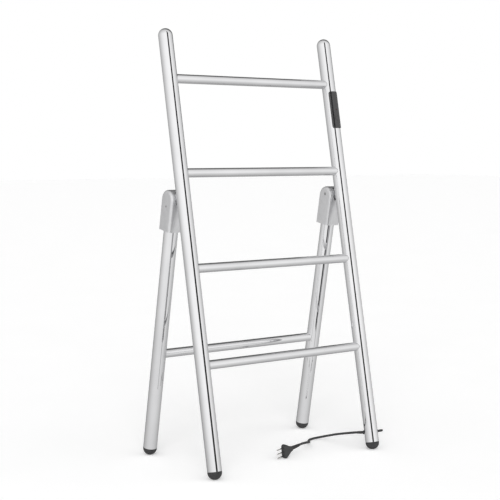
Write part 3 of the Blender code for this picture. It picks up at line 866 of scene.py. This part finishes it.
def status_lens():
    face = CONTROL_OUTER
    low = STILE_RADIUS + GAP
    profile = [(0, face)] + [(r, face - LENS_RADIUS + z) for r, z in arc(LENS_RADIUS, 70, 0, 6)]
    profile += [(LENS_RADIUS, low), (0, low)]
    finished(
        "status_lens_dome", lathe(profile, 32), LENS, on_stile_front(LENS_AT),
        LADDER, ["status_lens"],
    )


def build_control():
    control_cover()
    control_button()
    status_lens()


# ---- cord ----
def outlet_direction():
    return Vector(OUTLET_HEADING).normalized()


def outlet_point():
    return stile_frame(STILE_X, (OUTLET_HEIGHT - FOOT_Z) / UP_STILE.z).translation


def pointing(point, direction):
    return Matrix.Translation(point) @ direction.to_track_quat("Z", "Y").to_matrix().to_4x4()


def plug_frame(along=0.0):
    """Local z runs from the pin face towards the cord, local y runs up."""
    point = Vector(PLUG_AT) + Vector((0, FOOT.y, 0))
    level = Vector((math.cos(PLUG_YAW), math.sin(PLUG_YAW), 0))
    direction = level * math.cos(PLUG_PITCH) + Vector((0, 0, math.sin(PLUG_PITCH)))
    side = direction.cross(Vector((0, 0, 1))).normalized()
    axes = Matrix((-side, side.cross(direction), direction)).transposed().to_4x4()
    return Matrix.Translation(point + direction * along) @ axes


def cord_route(start):
    """The route points that the CAD cord has, measured from the front feet's line."""
    descent = [
        (0.2432, 0.0440, 0.0447),
        (0.2393, 0.0500, 0.0436),
        (0.2370, 0.0568, 0.0421),
        (0.2362, 0.0638, 0.0404),
        (0.2360, 0.0780, 0.0368),
        (0.2360, 0.0926, 0.0330),
        (0.2360, 0.1090, 0.0286),
        (0.2360, 0.1250, 0.0239),
        (0.2360, 0.1410, 0.0189),
    ]
    turn = arc(0.030, 0, 130, 5, (0.206, 0.1568))
    heights = (0.0141, 0.0099, 0.0066, 0.0045, FLOOR_REST, FLOOR_REST)
    landing = [(x, y, z) for (x, y), z in zip(turn, heights)]
    approach = [
        (0.1756, 0.1689, 0.0036),
        (0.1656, 0.1570, 0.0054),
        (0.1564, 0.1445, 0.0091),
        (0.1476, 0.1317, 0.0129),
        (0.1385, 0.1190, 0.0167),
        (0.1288, 0.1069, 0.0205),
        (0.1178, 0.0959, 0.0241),
        (0.1052, 0.0868, 0.0271),
        (0.0912, 0.0801, 0.0290),
    ]
    points = [start, start + outlet_direction() * 0.006]
    points += [Vector((x, y + FOOT.y, z)) for x, y, z in descent + landing + approach]
    points.append(plug_frame(PLUG_RELIEF_END + 0.012).translation)
    points.append(plug_frame(PLUG_RELIEF_END + GAP).translation)
    return points


def smooth_points(route, count):
    """Points along a Catmull-Rom curve through the route, nearly evenly spaced."""
    dense = []
    padded = [2 * route[0] - route[1]] + route + [2 * route[-1] - route[-2]]
    for i in range(1, len(padded) - 2):
        p0, p1, p2, p3 = padded[i - 1 : i + 3]
        for step in range(CURVE_STEPS):
            t = step / CURVE_STEPS
            part = (2 * p0 - 5 * p1 + 4 * p2 - p3) * t * t + (3 * p1 - p0 - 3 * p2 + p3) * t ** 3
            dense.append(0.5 * (2 * p1 + (p2 - p0) * t + part))
    dense.append(route[-1])
    travelled = [0.0]
    for before, after in zip(dense, dense[1:]):
        travelled.append(travelled[-1] + (after - before).length)
    points = []
    index = 0
    for i in range(count):
        wanted = travelled[-1] * i / (count - 1)
        while index < len(dense) - 2 and travelled[index + 1] < wanted:
            index += 1
        share = (wanted - travelled[index]) / (travelled[index + 1] - travelled[index])
        points.append(dense[index].lerp(dense[index + 1], share))
    return points


def gland():
    """The gland's collar and its tapered relief with ring grooves."""
    flange = STILE_RADIUS + FLANGE_STEP
    end = flange + GLAND_LENGTH
    profile = [(0, end), (GLAND_TIP - 0.0002, end), (GLAND_TIP, end - 0.0004)]
    rings = 5
    first = end - 0.0020
    pitch = 0.0030
    widening = 0.00013
    for i in range(rings):
        top = first - i * pitch
        wide = GLAND_TIP + widening * (i + 1)
        narrow = wide - 0.0007
        profile += [(wide, top), (narrow, top - 0.0003)]
        profile += [(narrow, top - 0.0011), (wide, top - 0.0014)]
    profile += [(0.0047, flange + 0.0030), (0.0056, flange + 0.0020)]
    profile += arc(0.0006, 60, 0, 3, (0.0054, flange + 0.0012)) + [(0.0060, flange)]
    inside = 0.0125
    profile += [(GRIP_RADIUS, flange), (GRIP_RADIUS, inside), (0, inside)]
    place = pointing(outlet_point(), outlet_direction())
    finished("cord_gland_boot", lathe(profile, 48), RUBBER, place, LADDER, ["cord_gland"])
    return outlet_point() + outlet_direction() * (end + GAP)


def grip_tail():
    """The cord grip's tail on the outer side, tapering to a rounded tip."""
    tip = STILE_RADIUS + 0.0262
    base = STILE_RADIUS + FLANGE_STEP
    inside = 0.0060
    end = [(r, tip - TAIL_TIP + z) for r, z in arc(TAIL_TIP, 90, 0, 8)]
    end[0] = (0, tip)
    profile = end + [(0.0036, STILE_RADIUS + 0.012), (0.0039, base), (GRIP_RADIUS, STILE_RADIUS)]
    profile += [(GRIP_RADIUS, inside), (0, inside)]
    place = pointing(outlet_point(), Vector((1, 0, 0)))
    finished("cord_grip_tail", lathe(profile, 48), RUBBER, place, LADDER, ["cord_grip"])


def plug_body():
    """The flat moulded body: a rounded six-sided outline with soft rims."""
    tall = PLUG_HALF_HEIGHT
    half = [(0, 0.0155), (0.0010, 0.0171), (0.0025, 0.0185), (0.0045, 0.0198), (0.007, tall)]
    half += [(0.0090, 0.0203), (0.011, 0.0194), (0.016, 0.0163), (0.022, 0.0123), (0.028, 0.0084)]
    half += [(0.032, 0.0069), (PLUG_RELIEF_START - GAP, 0.0062)]
    outline = half + [(along, -rise) for along, rise in reversed(half)]
    flat = Matrix(((0, 0, 1), (0, 1, 0), (-1, 0, 0))).to_4x4()
    shape = slab([(-along, rise) for along, rise in outline], PLUG_THICKNESS)
    rims = [edge for edge in shape.edges if on_outline(edge)]
    bmesh.ops.bevel(shape, geom=rims, offset=PLUG_RIM, segments=7, profile=0.5, affect="EDGES")
    mesh = to_mesh(shape)
    place = plug_frame() @ flat
    return finished(
        "plug_shell", mesh, PLUG_BLACK, place, LADDER, ["plug_body"], 30
    )


def plug_relief():
    """The plug's tapered relief, ringed with grooves."""
    length = PLUG_RELIEF_END - PLUG_RELIEF_START
    rings = 6
    pitch = 0.0044
    first = length - 0.0036
    profile = [(0, length), (RELIEF_TIP - 0.0002, length), (RELIEF_TIP, length - 0.0004)]
    for i in range(rings):
        top = first - i * pitch
        wide = RELIEF_TIP + (RELIEF_ROOT - RELIEF_TIP) * (length - top) / length
        narrow = wide - 0.0009
        profile += [(wide, top), (narrow, top - 0.0004)]
        profile += [(narrow, top - 0.0018), (wide, top - 0.0022)]
    profile += [(RELIEF_ROOT, 0), (0, 0)]
    place = plug_frame(PLUG_RELIEF_START)
    mesh = lathe(profile, 48)
    return finished("plug_relief_rings", mesh, RUBBER, place, LADDER, ["plug_relief"], 30)


def plug_pins():
    """Three pins with rounded metal tips and black insulating sleeves."""
    pieces = []
    top = SLEEVE_LENGTH
    metal_base = top + GAP
    ease = 0.0002
    for number, rise in enumerate((PIN_SPACING, 0, -PIN_SPACING), 1):
        place = plug_frame() @ Matrix.Translation((0, rise, 0)) @ Matrix.Rotation(math.pi, 4, "X")
        round_end = arc(PLUG_PIN_RADIUS, 90, 0, 8)
        tip = [(r, PIN_TIP - PLUG_PIN_RADIUS + z) for r, z in round_end]
        tip[0] = (0, PIN_TIP)
        metal = tip + [(PLUG_PIN_RADIUS, metal_base), (0, metal_base)]
        sleeve = [(0, top), (SLEEVE_RADIUS - ease, top), (SLEEVE_RADIUS, top - ease)]
        sleeve += [(SLEEVE_RADIUS, GAP), (0, GAP)]
        pieces.append(
            finished(
                f"plug_pin_{number}_metal", lathe(metal, 32), NICKEL, place, LADDER,
                [f"plug_pin_{number}"],
            )
        )
        pieces.append(
            finished(
                f"pin_sleeve_{number}_moulded", lathe(sleeve, 32), PLUG_BLACK, place, LADDER,
                [f"pin_sleeve_{number}"],
            )
        )
    return pieces


def power_cord(start):
    curve = bpy.data.curves.new("power_cord_jacket", "CURVE")
    curve.dimensions = "3D"
    curve.bevel_depth = CORD_RADIUS
    curve.bevel_resolution = 6
    curve.use_fill_caps = True
    points = smooth_points(cord_route(start), CORD_POINTS)
    spline = curve.splines.new("POLY")
    spline.points.add(len(points) - 1)
    for point, place in zip(spline.points, points):
        point.co = (*place, 1)
    spline.use_smooth = True
    curve.materials.append(CORD_RUBBER)
    item = bpy.data.objects.new("power_cord_jacket", curve)
    bpy.context.scene.collection.objects.link(item)
    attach(item, LADDER)
    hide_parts("power_cord")


def build_cord():
    start = gland()
    grip_tail()
    pieces = [plug_body(), plug_relief()] + plug_pins()
    pieces += [bpy.data.objects["cord_gland_boot"], bpy.data.objects["cord_grip_tail"]]
    power_cord(start)


# ---- inner pieces keep their CAD shapes ----
def paint_inner_nodes():
    paints = {
        "heater_sheath": SHEATH,
        "board_green": BOARD,
        "white_plastic": WHITE,
        "black_plastic": BLACK,
        "steel": STEEL,
    }
    slots = {row["node"]: row["material_slot"] for row in frame["record"]["subparts"]}
    for name, item in frame["nodes"].items():
        if item.hide_render:
            continue
        item.data.materials.clear()
        item.data.materials.append(paints[slots[name]])


# ---- studio ----
def camera():
    data = bpy.data.cameras.new("camera")
    data.lens = CAMERA_LENS
    data.sensor_width = 36.0
    item = bpy.data.objects.new("camera", data)
    bpy.context.scene.collection.objects.link(item)
    item.location = CAMERA_PLACE
    item.rotation_mode = "QUATERNION"
    item.rotation_quaternion = Vector(CAMERA_LOOKS).to_track_quat("-Z", "Y")
    bpy.context.scene.camera = item


def floor():
    mesh = bpy.data.meshes.new("floor")
    size = FLOOR_SIZE
    corners = [(-size, -size, 0), (size, -size, 0), (size, size, 0), (-size, size, 0)]
    mesh.from_pydata(corners, [], [(0, 1, 2, 3)])
    nodes = Nodes("floor_finish")
    nodes.colour(nodes.ramp(nodes.noise(3.0), (0.955, 0.955, 0.955), (0.975, 0.975, 0.975)))
    nodes.fixed(Roughness=0.9, Emission_Color=(1, 1, 1, 1), Emission_Strength=FLOOR_GLOW)
    mesh.materials.append(nodes.material)
    item = bpy.data.objects.new("floor", mesh)
    item.location.z = -FLOOR_DROP
    bpy.context.scene.collection.objects.link(item)
    item.visible_glossy = False


def key_light():
    """A large soft source from the front left, above the camera, not seen in reflections."""
    data = bpy.data.lights.new("key_light", "SUN")
    data.energy = KEY_ENERGY
    data.angle = KEY_ANGLE
    item = bpy.data.objects.new("key_light", data)
    item.visible_glossy = False
    bpy.context.scene.collection.objects.link(item)
    item.rotation_mode = "QUATERNION"
    item.rotation_quaternion = Vector(KEY_DIRECTION).to_track_quat("-Z", "Y")


def dark_card():
    """A tall dark card in front of the rack, seen only as the dark line in the chrome."""
    mesh = bpy.data.meshes.new("dark_card")
    half = CARD_WIDTH / 2
    low = [(-half, 0, CARD_BOTTOM), (half, 0, CARD_BOTTOM)]
    high = [(half, 0, CARD_TOP), (-half, 0, CARD_TOP)]
    mesh.from_pydata(low + high, [], [(0, 1, 2, 3)])
    nodes = Nodes("dark_card_finish")
    nodes.colour(nodes.ramp(nodes.noise(2.0), (0.03, 0.03, 0.03), (0.05, 0.05, 0.05)))
    mesh.materials.append(nodes.material)
    item = bpy.data.objects.new("dark_card", mesh)
    item.location = CARD_PLACE
    bpy.context.scene.collection.objects.link(item)
    for flag in ("visible_camera", "visible_diffuse", "visible_shadow", "visible_transmission"):
        setattr(item, flag, False)


def world():
    """White to the eye; for light and reflections, a room with a grey end and a ceiling beam."""
    made = bpy.data.worlds.new("studio")
    bpy.context.scene.world = made
    made.use_nodes = True
    tree = made.node_tree
    background = tree.nodes["Background"]
    direction = tree.nodes.new("ShaderNodeTexCoord").outputs["Generated"]
    split = tree.nodes.new("ShaderNodeSeparateXYZ")
    tree.links.new(direction, split.inputs[0])
    end = tone_ramp(tree, towards(tree, direction, GREY_END), GREY_TONES)
    beam = tone_ramp(tree, towards(tree, direction, BEAM), BEAM_TONES)
    height = tone_ramp(tree, split.outputs["Z"], HEIGHT_TONES)
    light = times(tree, times(tree, end, beam), height)
    strength = times(tree, light, None, ROOM_LIGHT)
    eye = tree.nodes.new("ShaderNodeLightPath").outputs["Is Camera Ray"]
    choice = tree.nodes.new("ShaderNodeMix")
    tree.links.new(eye, choice.inputs["Factor"])
    tree.links.new(strength, choice.inputs["A"])
    choice.inputs["B"].default_value = 1.0
    tree.links.new(choice.outputs["Result"], background.inputs["Strength"])
    background.inputs["Color"].default_value = (1, 1, 1, 1)


def towards(tree, direction, aim):
    """How nearly a direction points at aim, from -1 to 1."""
    node = tree.nodes.new("ShaderNodeVectorMath")
    node.operation = "DOT_PRODUCT"
    node.inputs[1].default_value = aim
    tree.links.new(direction, node.inputs[0])
    return node.outputs["Value"]


def times(tree, first, second, factor=1.0):
    """The product of two values, or of one value and a factor."""
    node = tree.nodes.new("ShaderNodeMath")
    node.operation = "MULTIPLY"
    node.inputs[1].default_value = factor
    tree.links.new(first, node.inputs[0])
    if second:
        tree.links.new(second, node.inputs[1])
    return node.outputs[0]


def tone_ramp(tree, source, tones):
    """A grey tone from a value between -1 and 1, by (value, tone) stops."""
    span = tree.nodes.new("ShaderNodeMapRange")
    span.inputs["From Min"].default_value = -1.0
    tree.links.new(source, span.inputs["Value"])
    ramp = tree.nodes.new("ShaderNodeValToRGB")
    stops = ramp.color_ramp.elements
    while len(stops) < len(tones):
        stops.new(0.5)
    for stop, (value, tone) in zip(stops, tones):
        stop.position = (value + 1) / 2
        stop.color = (tone, tone, tone, 1.0)
    tree.links.new(span.outputs["Result"], ramp.inputs["Fac"])
    return ramp.outputs["Color"]


def build_studio():
    camera()
    floor()
    key_light()
    dark_card()
    world()
    bpy.context.scene.view_settings.view_transform = "Standard"


build_studio()
build_cord()
build_ladder()
build_rear_frame()
build_hinges()
build_control()
paint_inner_nodes()
